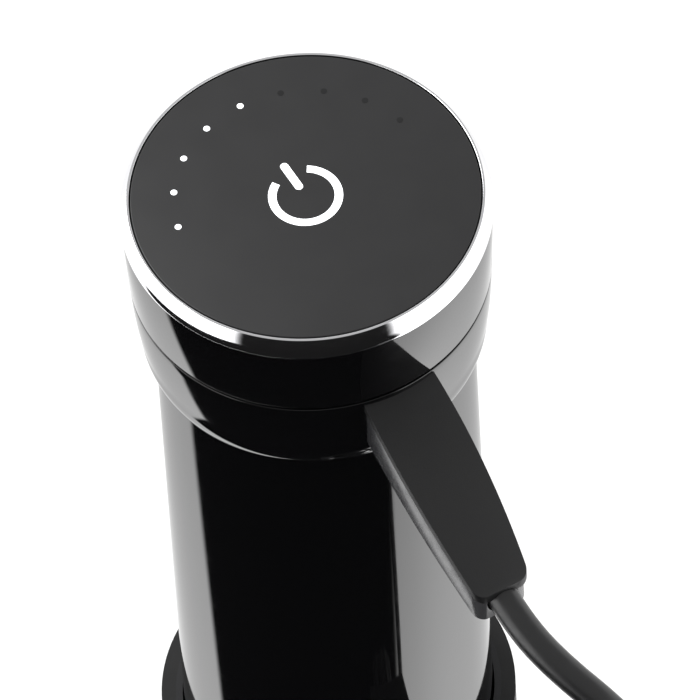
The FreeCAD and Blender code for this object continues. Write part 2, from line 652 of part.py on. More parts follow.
def make_heater():
    spigot_bore = "spigot_radius - spigot_wall"
    groove = "seal_section * 1.1"
    plate = turned("flange_blank", [
        ("shaft_seal_radius", "flange_plate_foot"), (spigot_bore, "flange_plate_foot"),
        (spigot_bore, "spigot_foot"), ("spigot_radius", "spigot_foot"),
        ("spigot_radius", f"seal_height - {groove}"),
        (f"spigot_radius - 2 * {groove}", f"seal_height - {groove}"),
        (f"spigot_radius - 2 * {groove}", f"seal_height + {groove}"),
        ("spigot_radius", f"seal_height + {groove}"), ("spigot_radius", "flange_plate_foot"),
        ("barrel_bore - fit", "flange_plate_foot"), ("barrel_bore - fit", "flange_plate_top"),
        ("shaft_seal_radius", "flange_plate_top"),
    ])
    ways = screw_holes("flange", "flange_screw_circle", FLANGE_SCREW_ANGLES, "flange_plate_foot",
                       "flange_plate_foot + 4", "flange_screw")
    legs = [leg for pair in HAIRPINS for leg in pair]
    ways += [cylinder(f"heater_way{k}", "heater_radius + fit", "heater_flange_thick",
                      *polar("heater_circle", angle), "flange_plate_foot")
             for k, angle in enumerate(legs)]
    ways += [cylinder(f"probe_way{k}", f"{radius} + fit", "heater_flange_thick",
                      *polar("heater_circle", angle), "flange_plate_foot")
             for k, (radius, angle, _) in enumerate(PROBES)]
    node("heater_flange", cut("heater_flange", plate, ways))
    gasket = ring("gasket_blank", "collar_bore", "barrel_bore - fit", "barrel_foot", "flange_plate_foot")
    node("flange_gasket", cut("flange_gasket", gasket, screw_holes(
        "gasket", "flange_screw_circle", FLANGE_SCREW_ANGLES, "barrel_foot", "flange_plate_foot",
        "flange_screw")))
    seal = bind(doc.addObject("Part::Torus", "sleeve_seal"),
                Radius1="spigot_radius - seal_section", Radius2="seal_section")
    node("sleeve_seal", place(seal, z="seal_height"))
    node("shaft_seal", ring("shaft_seal", "shaft_radius + shaft_gap", "shaft_seal_radius",
                            "flange_plate_foot", "flange_plate_top"))
    node("shaft_tube", ring("shaft_tube", "tube_bore", "tube_radius", "tube_foot", "flange_plate_foot"))
    node("shaft_bush", ring("shaft_bush", "shaft_radius + shaft_gap", "tube_bore", "tube_foot",
                            "tube_foot + bush_height"))
    hairpins = [hairpin(k, *pair) for k, pair in enumerate(HAIRPINS)]
    node("heating_elements", joined("heating_elements", hairpins))
    names = ("temperature_probe", "level_probe_a", "level_probe_b")
    rods = [
        cylinder(f"{name}_rod", radius, f"flange_plate_top - {low}",
                 *polar("heater_circle", angle), low)
        for name, (radius, angle, low) in zip(names, PROBES)
    ]
    node("sensor_probes", joined("sensor_probes", rods))


HAIRPINS = [(20, 70), (110, 160), (200, 250)]  # the angles of each element's two legs
PROBES = [("probe_radius", 305, "probe_foot"), ("level_radius", 285, "level_foot"),
          ("level_radius", 325, "level_foot")]


def hairpin(k, first, last):
    """A heating rod that goes down, round a half turn and up again."""
    middle, half = (first + last) / 2, (last - first) / 2
    chord = f"heater_circle * sin({half})"
    legs = [
        cylinder(f"heater_leg{k}_{angle}", "heater_radius", "flange_plate_top - heater_foot",
                 *polar("heater_circle", angle), "heater_foot")
        for angle in (first, last)
    ]
    bend = bind(doc.addObject("Part::Torus", f"heater_bend{k}"), Radius1=chord, Radius2="heater_radius")
    bend.Angle3 = 180
    upright = Rotation(Vector(0, 0, 1), middle + 90) * Rotation(Vector(1, 0, 0), -90)
    place(bend, *polar(f"heater_circle * cos({half})", middle), "heater_foot", upright)
    return joined(f"heater_hairpin{k}", [*legs, bend])


def make_sleeve():
    sleeve = ring("sleeve", "sleeve_bore", "sleeve_radius", "sleeve_foot", "sleeve_top")
    slots(sleeve, 4, "slot_width", "inlet_foot", "inlet_foot + inlet_height")
    slots(sleeve, 5, "slot_width", "outlet_foot", "outlet_foot + outlet_height", start=9)
    node("sleeve", sleeve)
    spigot = "sleeve_bore - cap_gap"
    cap = turned("bottom_cap", [
        ("0", "cap_bottom"), ("sleeve_radius - 1", "cap_bottom"),
        ("sleeve_radius", "cap_bottom + 1"), ("sleeve_radius", "sleeve_foot"),
        (spigot, "sleeve_foot"), (spigot, "sleeve_foot + cap_spigot"),
        ("sleeve_radius - cap_wall", "sleeve_foot + cap_spigot"),
        ("sleeve_radius - cap_wall", "cap_bottom + cap_floor"), ("0", "cap_bottom + cap_floor"),
    ])
    slots(cap, 4, "slot_width", "cap_slot_foot", "cap_slot_foot + cap_slot_height")
    node("bottom_cap", cap)
    node("foot_pad", ring("foot_pad", "0", "foot_radius", "0", "foot_height"))
    node("impeller", bladed("impeller", "impeller_hub", "impeller_radius", "impeller_foot",
                            "impeller_height", 6, 25))
    node("cooling_fan", bladed("cooling_fan", "fan_hub", "fan_radius", "fan_foot", "fan_height", 7, 15))
    node("impeller_nut", ring("impeller_nut", "shaft_radius", "nut_radius", "impeller_foot - nut_height",
                              "impeller_foot"))


# ------------------------------------------------------------------ the pot clamp

def make_clamp():
    node("clamp_liner", ring("clamp_liner", "liner_bore", "clamp_bore", "clamp_foot", "clamp_top"))
    hoop = ring("clamp_hoop", "clamp_bore", "clamp_radius", "clamp_foot", "clamp_top")
    wide = "2 * jaw_half"
    bridge = block("clamp_bridge", wide, "leg_back - clamp_bore", "bridge_height",
                   y="-(leg_back + clamp_bore) / 2", z="clamp_top - bridge_height")
    leg = block("clamp_leg", wide, "leg_thick", "clamp_top - jaw_foot",
                y="-(leg_face + leg_back) / 2", z="jaw_foot")
    jaw = block("clamp_jaw", wide, "jaw_face - clamp_bore + 2", "clamp_top - jaw_foot",
                y="-(jaw_face + clamp_bore - 2) / 2", z="jaw_foot")
    core = cylinder("clamp_core", "clamp_bore", "clamp_top - jaw_foot", z="jaw_foot")
    insert_way = cylinder("insert_way", "insert_radius", "leg_thick", "0", "-leg_face", "screw_height",
                          TO_MINUS_Y)
    node("clamp_ring", cut("clamp_ring", joined("clamp_body", [hoop, bridge, leg, jaw]),
                           [core, insert_way]))
    insert = cylinder("insert_blank", "insert_radius", "leg_thick", "0", "-leg_face", "screw_height",
                      TO_MINUS_Y)
    thread_way = cylinder("thread_way", "thread_radius + thread_gap", "leg_thick", "0", "-leg_face",
                          "screw_height", TO_MINUS_Y)
    node("threaded_insert", cut("threaded_insert", insert, [thread_way]))
    node("pad_socket", cylinder("pad_socket", "pad_radius", "socket_thick", "0", "-socket_face",
                                "screw_height", TO_MINUS_Y))
    node("clamp_pad", cylinder("clamp_pad", "pad_radius", "pad_thick", "0",
                               "-(socket_face - pad_thick)", "screw_height", TO_MINUS_Y))
    shank = cylinder("thread", "thread_radius", "thread_length", "0", "-socket_back", "screw_height",
                     TO_MINUS_Y)
    knob = cylinder("knob", "knob_radius", "knob_length", "0", "-knob_face", "screw_height", TO_MINUS_Y)
    grooves = [
        cylinder(f"knob_groove{k}", "knob_groove", "knob_length + 2",
                 f"knob_radius * cos({angle})", "-knob_face + 1",
                 f"screw_height + knob_radius * sin({angle})", TO_MINUS_Y)
        for k, angle in enumerate(around(10))
    ]
    node("clamp_screw", joined("clamp_screw", [shank, cut("grip", knob, grooves)]))


# ------------------------------------------------------------------ the cord and its plug

# The cord from inside the arm's end to the top of the coil, and from the coil to the plug.
CORD_ROUTE = [
    (0, -74, 350.8), (0, -84, 347.1), (2.6, -95.8, 342.3), (10.8, -112, 334), (20.2, -128, 313),
    (26.6, -137, 275), (31.5, -139, 211), (35.5, -138.5, 146), (37.4, -137, 86),
    (37.8, -132, 46), (37.8, -119, 23), (37.5, -98, 11),
]
TAIL_ROUTE = [(44.5, -97, 4.6), (44.8, -81, 5), (47.5, -65, 10), (51, -50, 16), (52.5, -37, 18.2)]


def tube(label, route):
    """A round cord along straight runs joined by tangent arcs, each as large as fits."""
    spots = [Vector(*p) for p in route]
    radius = value_of("cord_radius")
    edges, here = [], spots[0]
    for before, corner, after in zip(spots, spots[1:], spots[2:]):
        into, out = (corner - before).normalize(), (after - corner).normalize()
        half = into.getAngle(out) / 2
        setback = 0.45 * min((corner - before).Length, (after - corner).Length)
        print(f"{label} bend radius {setback / math.tan(half):.1f}")
        start, stop = corner - into * setback, corner + out * setback
        inward = (out - into).normalize()
        bend = setback / math.tan(half)
        middle = corner + inward * (bend / math.cos(half) - bend)
        edges += [Part.LineSegment(here, start).toShape(), Part.Arc(start, middle, stop).toShape()]
        here = stop
    edges.append(Part.LineSegment(here, spots[-1]).toShape())
    path = Part.Wire(edges)
    section = Part.Wire([Part.Circle(spots[0], spots[1] - spots[0], radius).toShape()])
    thing = doc.addObject("Part::Feature", label)
    thing.Shape = path.makePipeShell([section], True, True)
    print(f"{label} length {path.Length:.1f}, volume ratio "
          f"{thing.Shape.Volume / (math.pi * radius**2 * path.Length):.4f}")
    return thing


def make_cord():
    low, high, bend = "coil_foot", "coil_top", "coil_round"
    inner, outer = "coil_inner", "coil_outer"
    coil = turned("cord_coil", [
        (f"{inner} + {bend}", low), (f"{outer} - {bend}", low), (outer, f"{low} + {bend}", bend),
        (outer, f"{high} - {bend}"), (f"{outer} - {bend}", high, bend), (f"{inner} + {bend}", high),
        (inner, f"{high} - {bend}", bend), (inner, f"{low} + {bend}"),
        (f"{inner} + {bend}", low, bend),
    ][:-1])
    place(coil, y="-coil_place")
    node("cord_coil", coil)
    node("power_cord", cut("power_cord", tube("cord_run", CORD_ROUTE), [coil]))
    node("power_cord_tail", cut("power_cord_tail", tube("tail_run", TAIL_ROUTE), [coil]))
    band = block("tie_block", "coil_outer - coil_inner + 2 * tie_thick", "tie_width",
                 "coil_top - coil_foot + 2 * tie_thick", x="-(coil_outer + coil_inner) / 2",
                 y="-coil_place", z="coil_foot - tie_thick")
    node("cord_tie", cut("cord_tie", band, [coil]))


def make_plug():
    centre = value_of("plug_radius")
    body = turned("plug_body", [
        ("cord_radius", "0"), ("plug_neck", "0"), ("plug_neck + 2", "neck_length"),
        ("plug_waist", "neck_length + 3"), ("plug_waist", "neck_length + 20"),
        ("plug_radius", "neck_length + 26"), ("plug_radius", "neck_length + plug_length"),
        ("0", "neck_length + plug_length"), ("0", "neck_length"), ("cord_radius", "neck_length"),
    ])
    body.Placement = Placement(Vector(value_of("plug_x"), value_of("plug_y"), centre), TO_PLUS_Y)
    for axis, text in (("x", "plug_x"), ("y", "plug_y"), ("z", "plug_radius")):
        body.setExpression(f"Placement.Base.{axis}", bound(text))
    node("plug_body", body)
    node("plug_pins", joined("plug_pins", [
        cylinder(f"plug_pin{k}", "pin_radius", "pin_length", f"plug_x + {side} * pin_pitch / 2",
                 "plug_y + neck_length + plug_length", "plug_radius", TO_PLUS_Y)
        for k, side in enumerate((-1, 1))
    ]))


# ------------------------------------------------------------------ build, check and write

for make in (make_glass_and_lights, make_dial, make_display, make_bowl, make_power_board, make_arm,
             make_arm_inside, make_barrel, make_motor, make_heater, make_sleeve, make_clamp,
             make_cord, make_plug):
    make()
doc.recompute()

for thing in doc.Objects:
    faults = {"Invalid", "Error"} & set(thing.State)
    assert not faults, f"{thing.Name} ({thing.Label}) didn't recompute: {faults}"
for name, thing in nodes.items():
    assert not thing.Shape.isNull() and thing.Shape.isValid(), f"{name} has no valid shape"
    assert thing.Shape.Solids, f"{name} has no solid"
    thing.Shape.exportStep(f"parts/{name}.step")
    box = thing.Shape.BoundBox
    print(f"{name}: {len(thing.Shape.Solids)} solids, {thing.Shape.Volume:.0f} mm3, "
          f"z {box.ZMin:.1f} to {box.ZMax:.1f}")
print(f"{len(nodes)} nodes")
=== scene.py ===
"""Looks for the sous vide circulator: the glass and its lights, the turned head and barrel,
the cord arm and the mains cord, and materials for them and for the CAD's own plug, sleeve,
clamp and inner pieces. Metres, +Z up, the cord arm toward -Y. An add-on, run as a script."""
import math

import bmesh
import bpy
from mathutils import Matrix, Vector


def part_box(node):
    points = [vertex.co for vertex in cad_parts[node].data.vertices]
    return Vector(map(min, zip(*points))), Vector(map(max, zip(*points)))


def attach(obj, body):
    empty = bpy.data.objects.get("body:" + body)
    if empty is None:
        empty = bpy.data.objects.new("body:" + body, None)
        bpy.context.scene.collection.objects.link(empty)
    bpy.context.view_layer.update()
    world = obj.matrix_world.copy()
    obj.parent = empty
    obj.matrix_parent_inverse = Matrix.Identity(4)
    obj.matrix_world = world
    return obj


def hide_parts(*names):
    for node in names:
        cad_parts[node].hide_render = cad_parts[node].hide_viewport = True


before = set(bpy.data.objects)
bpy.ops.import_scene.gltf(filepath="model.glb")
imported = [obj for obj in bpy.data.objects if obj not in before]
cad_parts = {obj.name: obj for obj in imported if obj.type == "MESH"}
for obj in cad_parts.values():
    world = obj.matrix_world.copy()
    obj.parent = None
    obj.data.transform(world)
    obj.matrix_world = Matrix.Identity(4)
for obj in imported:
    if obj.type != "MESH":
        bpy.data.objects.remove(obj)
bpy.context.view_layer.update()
MM = 0.001
ROOT = "head_and_barrel"

bl_info = {
    "name": "Sous vide circulator looks",
    "version": (1, 0, 0),
    "blender": (4, 5, 0),
    "location": "3D View > Sidebar > Circulator",
    "description": "Builds the visible shells, cord and materials of a sous vide circulator",
    "category": "Object",
}


# ------------------------------------------------------------------ colours and nodes

def linear(hex_colour):
    """An sRGB hex colour as linear red, green, blue and alpha."""
    parts = [int(hex_colour[i : i + 2], 16) / 255 for i in (1, 3, 5)]
    curve = [c / 12.92 if c <= 0.04045 else ((c + 0.055) / 1.055) ** 2.4 for c in parts]
    return (*curve, 1.0)


def add(tree, kind, settings=None, inputs=None):
    """Add a shader node. `settings` are its attributes; `inputs` are values or links."""
    made = tree.nodes.new(kind)
    for name, value in (settings or {}).items():
        setattr(made, name, value)
    for name, value in (inputs or {}).items():
        if isinstance(value, bpy.types.NodeSocket):
            tree.links.new(value, made.inputs[name])
        else:
            made.inputs[name].default_value = value
    return made


def material(name, colour, roughness, metallic=0.0, ior=None):
    """A Principled material, its tree and its shader, ready for a pattern."""
    made = bpy.data.materials.new(name)
    made.use_nodes = True
    tree = made.node_tree
    shader = tree.nodes["Principled BSDF"]
    shader.inputs["Base Color"].default_value = linear(colour)
    shader.inputs["Roughness"].default_value = roughness
    shader.inputs["Metallic"].default_value = metallic
    if ior:
        shader.inputs["IOR"].default_value = ior
    return made, tree, shader


def grains(tree, size_mm, detail=2.0, stretch=(1, 1, 1)):
    """Noise whose lumps are about `size_mm` across, stretched along the object's axes."""
    place = add(tree, "ShaderNodeTexCoord").outputs["Object"]
    scaled = add(tree, "ShaderNodeMapping", None, {"Vector": place, "Scale": stretch}).outputs[0]
    noise = add(tree, "ShaderNodeTexNoise", None,
                {"Vector": scaled, "Scale": 1 / (size_mm * MM), "Detail": detail})
    return noise.outputs["Fac"]


def bump(tree, shader, height, depth_mm, strength=1.0):
    """Raise the surface by up to `depth_mm` where the pattern is light."""
    made = add(tree, "ShaderNodeBump", None,
               {"Height": height, "Distance": depth_mm * MM, "Strength": strength})
    tree.links.new(made.outputs[0], shader.inputs["Normal"])


def vary(tree, shader, pattern, socket, low, high):
    """Let a pattern move a number socket between two values."""
    spread = add(tree, "ShaderNodeMapRange", None,
                 {"Value": pattern, "From Min": 0.3, "From Max": 0.7, "To Min": low, "To Max": high})
    tree.links.new(spread.outputs[0], shader.inputs[socket])


def tint(tree, shader, pattern, first, second):
    """Mix two close colours by a pattern."""
    mixed = add(tree, "ShaderNodeMix", {"data_type": "RGBA"}, {0: pattern})
    mixed.inputs[6].default_value = linear(first)
    mixed.inputs[7].default_value = linear(second)
    tree.links.new(mixed.outputs[2], shader.inputs["Base Color"])


# ------------------------------------------------------------------ materials

def gloss_black_abs():
    # High-gloss black ABS, moulded in a polished tool: deep black with sharp reflections that
    # swim very slightly where the wall thickness changes, and a trace of wiping haze.
    made, tree, shader = material("gloss_black_abs", "#060607", 0.05, ior=1.54)
    bump(tree, shader, grains(tree, 14, detail=1.0), 0.004)
    vary(tree, shader, grains(tree, 5, detail=4.0), "Roughness", 0.035, 0.075)
    return made


def printed_glass():
    # Toughened glass printed black on its back, with a fine etched face: a soft even grey sheen.
    made, tree, shader = material("printed_glass", "#1b1b1c", 0.36, ior=1.52)
    pattern = grains(tree, 0.25, detail=3.0)
    tint(tree, shader, pattern, "#1a1a1b", "#1d1d1e")
    vary(tree, shader, grains(tree, 9, detail=3.0), "Roughness", 0.34, 0.39)
    return made


def polished_chrome():
    # Chromium over moulded ABS: a near white mirror with a hint of polish lines round the ring.
    made, tree, shader = material("polished_chrome", "#e6e6e8", 0.06, metallic=1.0)
    vary(tree, shader, grains(tree, 2.5, detail=3.0, stretch=(1, 1, 4)), "Roughness", 0.04, 0.085)
    return made


def spark_eroded_abs():
    # Black ABS from a spark-eroded tool: matt, with a fine pebbled grain and a faint sheen.
    made, tree, shader = material("spark_eroded_abs", "#111112", 0.58, ior=1.46)
    pebbles = grains(tree, 0.35, detail=3.0)
    tint(tree, shader, pebbles, "#0f0f10", "#151516")
    bump(tree, shader, pebbles, 0.03, 0.6)
    vary(tree, shader, grains(tree, 6, detail=2.0), "Roughness", 0.5, 0.6)
    return made


def painted_sheen_abs():
    # The arm's under shell, smoother than its cover: a satin side, its base colour lightened well beyond
    # black plastic's as a painted sheen.
    made, tree, shader = material("painted_sheen_abs", "#38383a", 0.26, ior=1.5)
    vary(tree, shader, grains(tree, 3, detail=3.0), "Roughness", 0.2, 0.3)
    bump(tree, shader, grains(tree, 0.5), 0.006, 0.5)
    return made


def brushed_stainless():
    # Stainless tube, brushed round its axis: long fine lines that smear the highlights.
    made, tree, shader = material("brushed_stainless", "#b9b8b5", 0.27, metallic=1.0)
    lines = grains(tree, 6, detail=5.0, stretch=(1, 1, 40))
    vary(tree, shader, lines, "Roughness", 0.2, 0.36)
    bump(tree, shader, lines, 0.004, 0.5)
    tint(tree, shader, grains(tree, 20, detail=3.0), "#b4b3b0", "#bfbebb")
    return made


def plated_steel():
    # Zinc plated steel: a greyish mirror broken into faint crystals.
    made, tree, shader = material("plated_steel", "#a5a7a8", 0.3, metallic=1.0)
    place = add(tree, "ShaderNodeTexCoord").outputs["Object"]
    spangle = add(tree, "ShaderNodeTexVoronoi", None, {"Vector": place, "Scale": 1 / (1.5 * MM)})
    vary(tree, shader, spangle.outputs["Distance"], "Roughness", 0.24, 0.4)
    return made


def turned_brass():
    # Brass from a lathe: warm, with fine rings.
    made, tree, shader = material("turned_brass", "#c2a15c", 0.25, metallic=1.0)
    vary(tree, shader, grains(tree, 2, detail=4.0, stretch=(1, 12, 1)), "Roughness", 0.18, 0.34)
    return made


def pressed_aluminium():
    # Rolled aluminium sheet: pale, a little dull, with straight rolling lines.
    made, tree, shader = material("pressed_aluminium", "#c8c9ca", 0.38, metallic=1.0)
    vary(tree, shader, grains(tree, 4, detail=4.0, stretch=(1, 20, 1)), "Roughness", 0.3, 0.46)
    return made


def black_silicone():
    # Moulded silicone: soft black with a dusty bloom.
    made, tree, shader = material("black_silicone", "#232325", 0.62, ior=1.42)
    tint(tree, shader, grains(tree, 4, detail=4.0), "#1f1f21", "#29292b")
    bump(tree, shader, grains(tree, 0.4), 0.01, 0.5)
    return made


def cord_pvc():
    # Extruded soft PVC: satin black, with the faint lengthways draw of the die.
    made, tree, shader = material("cord_pvc", "#141415", 0.34, ior=1.53)
    vary(tree, shader, grains(tree, 1.6, detail=4.0), "Roughness", 0.28, 0.42)
    bump(tree, shader, grains(tree, 1.2, detail=2.0), 0.012, 0.6)
    return made


def natural_nylon():
    # Unfilled nylon: milky, slightly uneven where it cooled.
    made, tree, shader = material("natural_nylon", "#d8d5cb", 0.45, ior=1.53)
    tint(tree, shader, grains(tree, 5, detail=3.0), "#d2cfc4", "#dedbd2")
    return made


def solder_mask():
    # Green solder mask over copper tracks, which show as slightly raised lighter paths.
    made, tree, shader = material("solder_mask", "#1d4a2b", 0.3, ior=1.5)
    place = add(tree, "ShaderNodeTexCoord").outputs["Object"]
    tracks = add(tree, "ShaderNodeTexVoronoi", {"distance": "CHEBYCHEV"},
                 {"Vector": place, "Scale": 1 / (2.4 * MM)}).outputs["Distance"]
    tint(tree, shader, tracks, "#17402a", "#2a6140")
    bump(tree, shader, tracks, 0.03, 0.5)
    return made


def moulded_epoxy():
    # Epoxy-cased electronic parts: dark blue-grey, slightly glossy.
    made, tree, shader = material("moulded_epoxy", "#2a2e3a", 0.4, ior=1.55)
    tint(tree, shader, grains(tree, 2, detail=3.0), "#262a35", "#30343f")
    return made


def lit_guide():
    # Clear acrylic light guide with a white light behind it: even and crisp.
    made, tree, shader = material("lit_guide", "#f4f6f8", 0.3, ior=1.49)
    glow = grains(tree, 3, detail=1.0)
    tint(tree, shader, glow, "#eef1f4", "#fafbfc")
    shader.inputs["Emission Color"].default_value = linear("#f6f8fb")
    shader.inputs["Emission Strength"].default_value = 1.1
    return made


def unlit_guide():
    # The same guide with its light off: a dark smoky dot.
    made, tree, shader = material("unlit_guide", "#0c0c0d", 0.3, ior=1.49)
    tint(tree, shader, grains(tree, 1.0), "#0a0a0b", "#101011")
    return made


def clear_led():
    # Small clear-lensed light, pale yellow phosphor inside.
    made, tree, shader = material("clear_led", "#e9e4bd", 0.2, ior=1.5)
    tint(tree, shader, grains(tree, 0.8), "#e4dcae", "#f0ecd0")
    return made


def copper_winding():
    # Enamelled copper wire, wound in close rows, its colour darker in the grooves between them as painted
    # shade.
    made, tree, shader = material("copper_winding", "#9a5a33", 0.35, metallic=0.8)
    place = add(tree, "ShaderNodeTexCoord").outputs["Object"]
    rows = add(tree, "ShaderNodeTexWave", {"bands_direction": "Z"},
               {"Vector": place, "Scale": 1 / (6 * MM), "Distortion": 0.6}).outputs["Fac"]
    # Painted shade: the same rows darken the copper where the bump sinks between turns.
    tint(tree, shader, rows, "#7d4626", "#b06a3e")
    bump(tree, shader, rows, 0.15, 0.8)
    return made


def studio_paper():
    # Seamless white paper, lit from all round.
    made, tree, shader = material("studio_paper", "#f7f7f7", 0.9)
    tint(tree, shader, grains(tree, 60, detail=3.0), "#f6f6f6", "#f9f9f9")
    return made


# What each carried-over CAD node is made of.
NODE_MATERIALS = {
    gloss_black_abs: ["dial_ring", "head_bowl", "barrel_shell"],
    spark_eroded_abs: ["display_chassis", "dial_carrier", "clamp_ring", "clamp_screw", "bottom_cap",
                       "cord_arm_cover", "plug_body"],
    painted_sheen_abs: ["cord_arm_base"],
    natural_nylon: ["dial_slide_ring", "motor_end_cap", "cooling_fan", "impeller", "terminal_block"],
    solder_mask: ["display_board", "power_board"],
    moulded_epoxy: ["board_components", "dial_sensor"],
    clear_led: ["indicator_leds"],
    plated_steel: ["head_screws", "barrel_screws", "impeller_nut", "motor_can", "motor_bearings"],
    copper_winding: ["motor_stator", "motor_rotor"],
    turned_brass: ["board_standoffs", "threaded_insert", "shaft_bush", "plug_pins"],
    pressed_aluminium: ["triac_heatsink", "motor_mount"],
    brushed_stainless: ["sleeve", "barrel_collar", "heater_flange", "heating_elements",
                        "sensor_probes", "drive_shaft", "shaft_tube", "pad_socket"],
    black_silicone: ["flange_gasket", "sleeve_seal", "shaft_seal", "foot_pad", "clamp_liner",
                     "clamp_pad", "lead_grommet"],
    cord_pvc: ["inner_lead", "cord_tie", "power_cord", "power_cord_tail", "cord_coil"],
    polished_chrome: ["chrome_trim_ring"],
    printed_glass: ["touch_glass"],
    lit_guide: ["lit_indicator_dots", "power_symbol"],
    unlit_guide: ["unlit_indicator_dots"],
}
made_materials = {}


def finish_of(maker):
    """A material, made once and shared by every piece that has that finish."""
    if maker not in made_materials:
        made_materials[maker] = maker()
    return made_materials[maker]


# ------------------------------------------------------------------ meshes

def keep(name, mesh, maker, body, replaced=(), sharp_deg=40):
    """Link a mesh as a finished piece: its material, its body and the CAD it stands for."""
    mesh.materials.append(finish_of(maker))
    mesh.shade_smooth()
    mesh.set_sharp_from_angle(angle=math.radians(sharp_deg))
    piece = bpy.data.objects.new(name, mesh)
    bpy.context.scene.collection.objects.link(piece)
    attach(piece, body)
    if replaced:
        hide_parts(*replaced)
    return piece


def soft_corners(outline, radius, steps=4, sharpest=25):
    """Round every corner of a closed outline that turns by more than `sharpest` degrees."""
    spots = [Vector(p) for p in outline]
    rounded = []
    for k, here in enumerate(spots):
        into, out = here - spots[k - 1], spots[(k + 1) % len(spots)] - here
        turn = into.angle(out)
        if turn < math.radians(sharpest) or here.x == 0:
            rounded.append(here)
            continue
        setback = min(radius * math.tan(turn / 2), 0.45 * into.length, 0.45 * out.length)
        start, stop = here - into.normalized() * setback, here + out.normalized() * setback
        for j in range(steps + 1):
            t = j / steps
            rounded.append(start * (1 - t) ** 2 + here * 2 * t * (1 - t) + stop * t**2)
    return rounded


def lathe(name, outline, segments=240, radius=0.25, centre=(0, 0)):
    """Turn a closed outline of (radius, height) points, in millimetres, round Z."""
    profile = soft_corners(outline, radius)
    mesh = bpy.data.meshes.new(name)
    built = bmesh.new()
    rings = []
    for spot in profile:
        if spot.x < 1e-6:
            rings.append([built.verts.new((centre[0] * MM, centre[1] * MM, spot.y * MM))])
            continue
        turns = [2 * math.pi * k / segments for k in range(segments)]
        rings.append([
            built.verts.new(((centre[0] + spot.x * math.cos(a)) * MM,
                             (centre[1] + spot.x * math.sin(a)) * MM, spot.y * MM))
            for a in turns
        ])
    for k, low in enumerate(rings):
        high = rings[(k + 1) % len(rings)]
        if len(low) == 1 and len(high) == 1:
            continue
        for j in range(segments):
            after = (j + 1) % segments
            corners = [low[j % len(low)], low[after % len(low)],
                       high[after % len(high)], high[j % len(high)]]
            built.faces.new(dict.fromkeys(corners))
    bmesh.ops.recalc_face_normals(built, faces=built.faces)
    built.to_mesh(mesh)
    built.free()
    return mesh


def arc(start, stop, bulge, steps=14):
    """Points on an arc between two places that swells by `bulge` to the right of the way."""
    a, b = Vector(start), Vector(stop)
    chord = b - a
    side = Vector((chord.y, -chord.x)).normalized()
    radius = (chord.length / 2) ** 2 / (2 * abs(bulge)) + abs(bulge) / 2
    half = math.asin(min(1.0, chord.length / 2 / radius))
    centre = (a + b) / 2 - side * math.copysign(radius - abs(bulge), bulge)
    points = []
    for k in range(steps + 1):
        swing = -half + 2 * half * k / steps
        along = radius * math.sin(swing)
        out = math.copysign(radius * math.cos(swing), bulge)
        points.append(tuple(centre + chord.normalized() * along + side * out))
    return points


def node_span(name):
    """A CAD node's largest radius, lowest height and highest height, in millimetres."""
    low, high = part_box(name)
    return high[0] / MM, low[2] / MM, high[2] / MM


# ------------------------------------------------------------------ settings

class CirculatorFinish(bpy.types.PropertyGroup):
    edge_radius: bpy.props.FloatProperty(
        name="Edge radius", description="Rounding of moulded edges, in millimetres", default=0.25)
    panel_gap: bpy.props.FloatProperty(
        name="Panel gap", description="Shadow line between trim ring and band, in millimetres",
        default=0.25)


class CirculatorCord(bpy.types.PropertyGroup):
    length: bpy.props.FloatProperty(
        name="Length", description="Length of the mains cord", default=1.5, unit="LENGTH")
    diameter: bpy.props.FloatProperty(
        name="Diameter", description="Outside of the sheath", default=0.007, unit="LENGTH")


class CirculatorStage(bpy.types.PropertyGroup):
    azimuth: bpy.props.FloatProperty(
        name="Azimuth", description="Where the camera stands round the object, in degrees", default=-27)
    elevation: bpy.props.FloatProperty(
        name="Elevation", description="How high the camera stands, in degrees", default=53.64)
    roll: bpy.props.FloatProperty(
        name="Roll", description="How far the camera leans, in degrees", default=-3.66)
    distance: bpy.props.FloatProperty(
        name="Distance", description="From the glass to the camera", default=3.0, unit="LENGTH")
    lens: bpy.props.FloatProperty(
        name="Lens", description="Focal length, in millimetres on a 36 mm sensor", default=725.9)


# ------------------------------------------------------------------ the stage

AIM_RIGHT, AIM_UP = 9.44, -32.82  # the middle of the view from the glass's centre, in mm
# The dark screen's turn from the camera and its half width, in degrees, low down and level.
SCREEN_LOW, SCREEN_LEVEL = (-27, 73), (0, 41)
SCREEN_GREY, WALL_SIDE, WALL_BACK, TOP_WHITE = 0.012, 2.7, 1.1, 0.58  # strengths


def camera_axes(stage):
    """The camera's right, up and forward directions."""
    az, el, roll = (math.radians(v) for v in (stage.azimuth, stage.elevation, stage.roll))
    level = Vector((-math.sin(az), math.cos(az), 0))
    forward = level * math.cos(el) - Vector((0, 0, math.sin(el)))
    right = Vector((math.cos(az), math.sin(az), 0))
    up = right.cross(forward)
    return (right * math.cos(roll) + up * math.sin(roll),
            up * math.cos(roll) - right * math.sin(roll), forward)


def area_light(name, place, target, size, power):
    """A square softbox that looks at a target."""
    lamp = bpy.data.lights.new(name, "AREA")
    lamp.shape = "RECTANGLE"
    lamp.size, lamp.size_y = size
    lamp.energy = power
    thing = bpy.data.objects.new(name, lamp)
    thing.location = place
    thing.rotation_euler = (Vector(target) - Vector(place)).to_track_quat("-Z", "Y").to_euler()
    bpy.context.scene.collection.objects.link(thing)
    return thing


def way_to(azimuth):
    """The level direction at an azimuth in degrees, with 0 toward -Y."""
    return math.sin(math.radians(azimuth)), -math.cos(math.radians(azimuth)), 0.0


def ramp(tree, value, start, stop, low, high):
    """A soft step between two values."""
    return add(tree, "ShaderNodeMapRange", {"interpolation_type": "SMOOTHSTEP"},
               {"Value": value, "From Min": start, "From Max": stop,
                "To Min": low, "To Max": high}).outputs[0]


def blend(tree, share, first, second):
    """A number between two others."""
    return add(tree, "ShaderNodeMix", {"data_type": "FLOAT"}, {0: share, 2: first, 3: second}).outputs[0]


